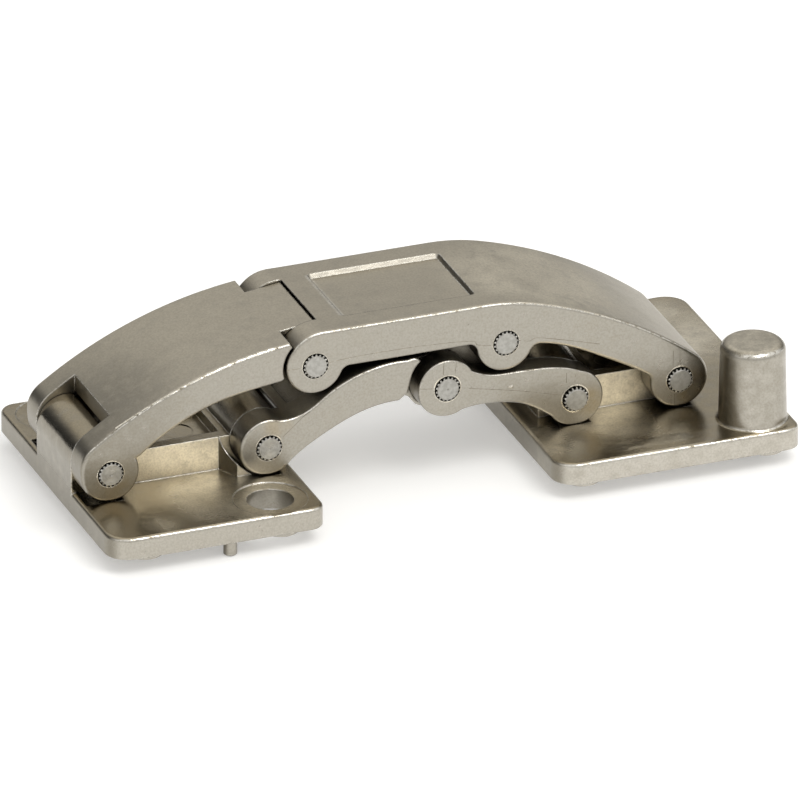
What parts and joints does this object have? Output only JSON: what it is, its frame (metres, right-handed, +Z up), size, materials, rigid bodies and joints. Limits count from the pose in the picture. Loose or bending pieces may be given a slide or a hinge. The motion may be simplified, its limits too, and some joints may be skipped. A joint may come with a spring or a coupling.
{
  "type": "surface-mounted multi-pivot concealed hinge",
  "caption": "Concealed hinge of two screw-on base plates joined by curved cast arms on riveted pivot pins, shown opened flat with a locating post on one plate.",
  "frame": {"origin": "under the middle of the opened hinge, level with the tips of the locating pegs", "axes": "+X from the left plate to the right plate, +Y to the back, +Z up off the mounting face"},
  "size_m": [0.1058, 0.0484, 0.0271],
  "materials": {
    "plated_casting": "satin nickel plate on a zinc casting",
    "pin_steel": "turned steel"
  },
  "bodies": {
    "left_plate": {"left_base_plate": "plated_casting"},
    "short_cover": {"short_cover_arm": "plated_casting", "pin_1": "pin_steel"},
    "long_cover": {"long_cover_arm": "plated_casting", "pin_3": "pin_steel", "pin_4": "pin_steel", "pin_7": "pin_steel"},
    "inner": {"inner_arm": "plated_casting", "pin_2": "pin_steel"},
    "link": {"short_link": "plated_casting", "pin_5": "pin_steel", "pin_6": "pin_steel"},
    "right_plate": {"right_base_plate": "plated_casting"}
  },
  "joints": [
    {"name": "left_plate_pivot", "type": "hinge", "parent": "left_plate", "child": "short_cover", "pos_m": [-0.04841, 0, 0.01015], "axis": [0, -1, 0], "range_deg": [0, 117.25]},
    {"name": "cover_pivot", "type": "hinge", "parent": "short_cover", "child": "long_cover", "pos_m": [-0.01716, 0, 0.0219], "axis": [0, 1, 0], "range_deg": [0, 95.7]},
    {"name": "inner_arm_pivot", "type": "hinge", "parent": "long_cover", "child": "inner", "pos_m": [0.01199, 0, 0.02055], "axis": [0, -1, 0], "range_deg": [0, 88.8]},
    {"name": "right_plate_pivot", "type": "hinge", "parent": "long_cover", "child": "right_plate", "pos_m": [0.03874, 0, 0.0102], "axis": [0, -1, 0], "range_deg": [0, 68.5]},
    {"name": "short_link_pivot", "type": "hinge", "parent": "right_plate", "child": "link", "pos_m": [0.02264, 0, 0.00995], "axis": [0, 1, 0], "range_deg": [0, 100.7]}
  ],
  "couplings": [
    {"joint": "cover_pivot", "follows": "left_plate_pivot", "ratio": 0.8161},
    {"joint": "inner_arm_pivot", "follows": "left_plate_pivot", "ratio": 0.7568},
    {"joint": "right_plate_pivot", "follows": "left_plate_pivot", "ratio": 0.5837},
    {"joint": "short_link_pivot", "follows": "left_plate_pivot", "ratio": 0.8582}
  ]
}
